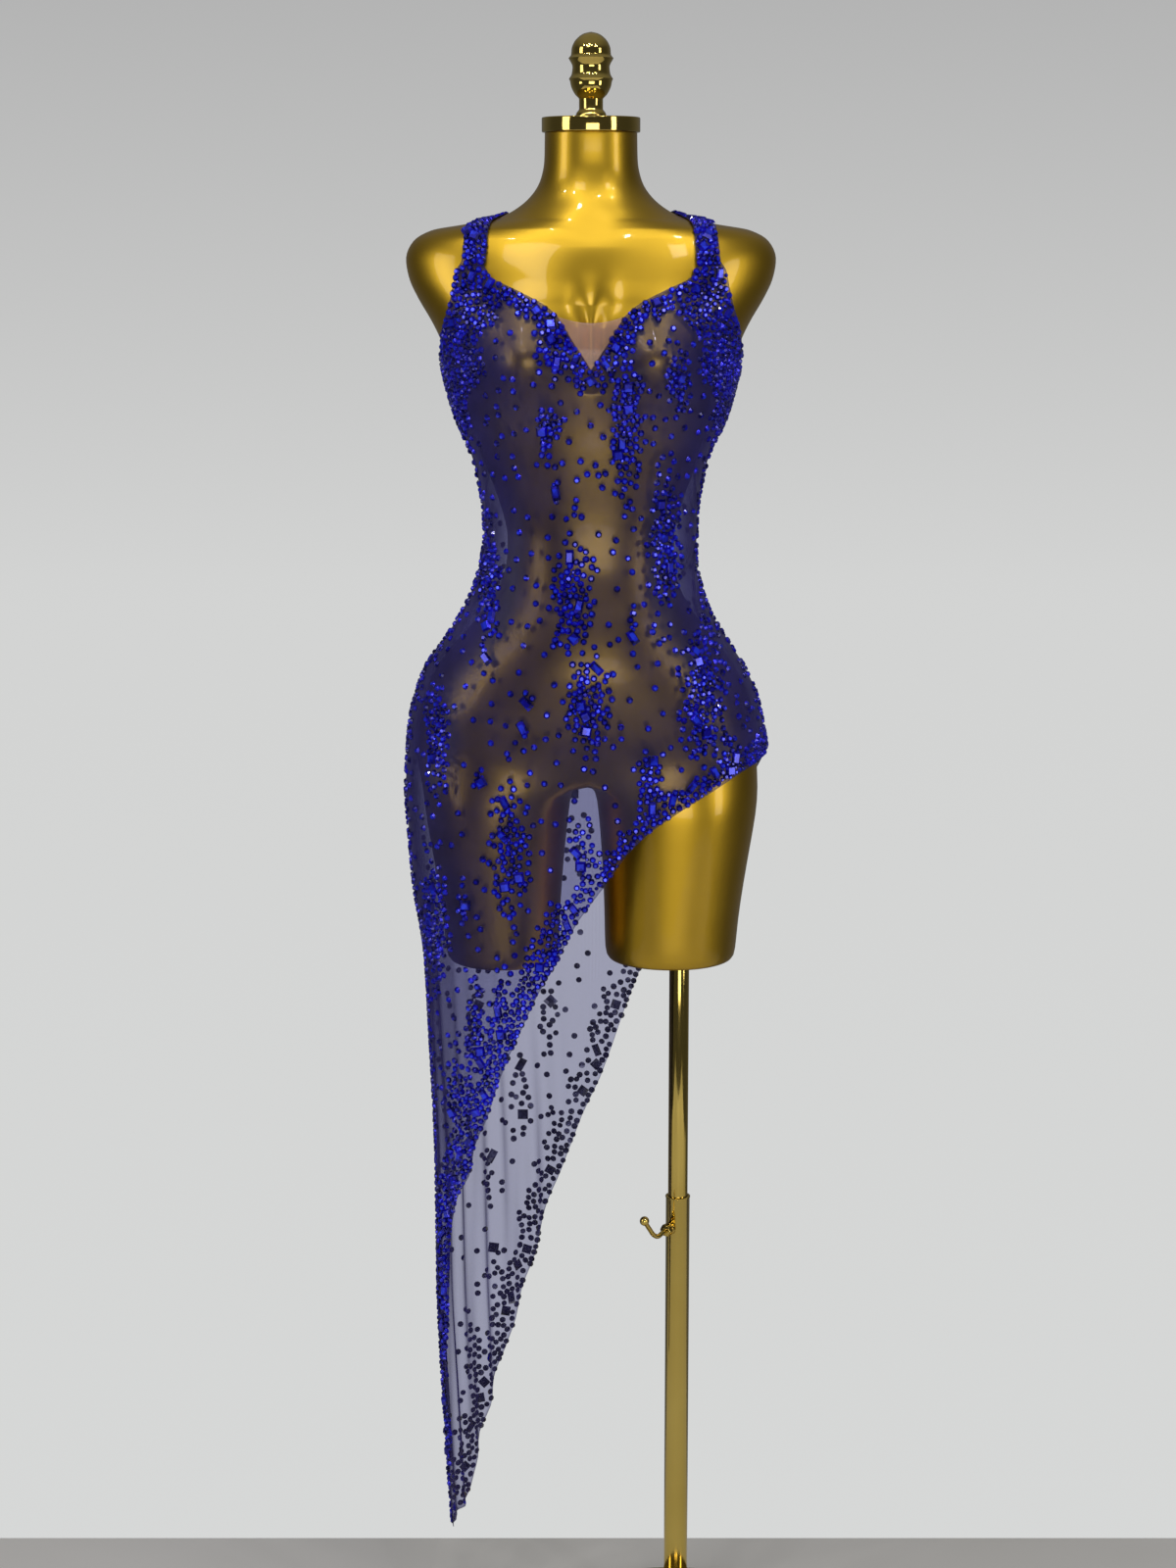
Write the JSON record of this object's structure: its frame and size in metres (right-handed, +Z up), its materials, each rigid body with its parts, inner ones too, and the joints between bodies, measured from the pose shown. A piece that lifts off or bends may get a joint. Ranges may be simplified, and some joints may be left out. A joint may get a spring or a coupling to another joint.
{
  "type": "performance sheath dress on a limbless dress form and pole stand",
  "caption": "Sheer stone-set sheath dress with a diagonal hem, fitted over a limbless dress form on a telescopic pole stand.",
  "frame": {"origin": "on the floor, on the underside of the base plate, straight below the middle of the form", "axes": "+Z up, the front of the dress faces -Y, +X is the wearer's left (the short side of the hem)"},
  "size_m": [0.457, 0.344, 1.7257],
  "materials": {
    "navy_mesh": "sheer power mesh",
    "nude_mesh": "fine skin-coloured mesh",
    "blue_stone": "faceted glass, foiled back",
    "form_gold": "satin metallic gold paint",
    "bright_gold": "polished gold plate"
  },
  "bodies": {
    "stand": {"base_plate": "bright_gold", "base_collar": "bright_gold", "lower_tube": "bright_gold"},
    "clamp": {"clamp_screw": "bright_gold"},
    "mast": {"upper_tube": "bright_gold"},
    "display": {"form": "form_gold", "neck_ring": "bright_gold", "finial": "bright_gold", "front_panel": "navy_mesh", "back_panel": "navy_mesh", "nude_insert": "nude_mesh", "strap_left": "navy_mesh", "strap_right": "navy_mesh"}
  },
  "joints": [
    {"name": "clamp_turn", "type": "hinge", "parent": "stand", "child": "clamp", "pos_m": [0.08079, -0.01456, 0.488], "axis": [-0.6428, -0.766, 0], "range_deg": [0, 270]},
    {"name": "mast_height", "type": "slide", "parent": "stand", "child": "mast", "axis": [0, 0, 1], "range_m": [-0.1, 0.2]},
    {"name": "form_swivel", "type": "hinge", "parent": "mast", "child": "display", "pos_m": [0.093, 0, 0.787], "axis": [0, 0, 1], "continuous": true}
  ]
}
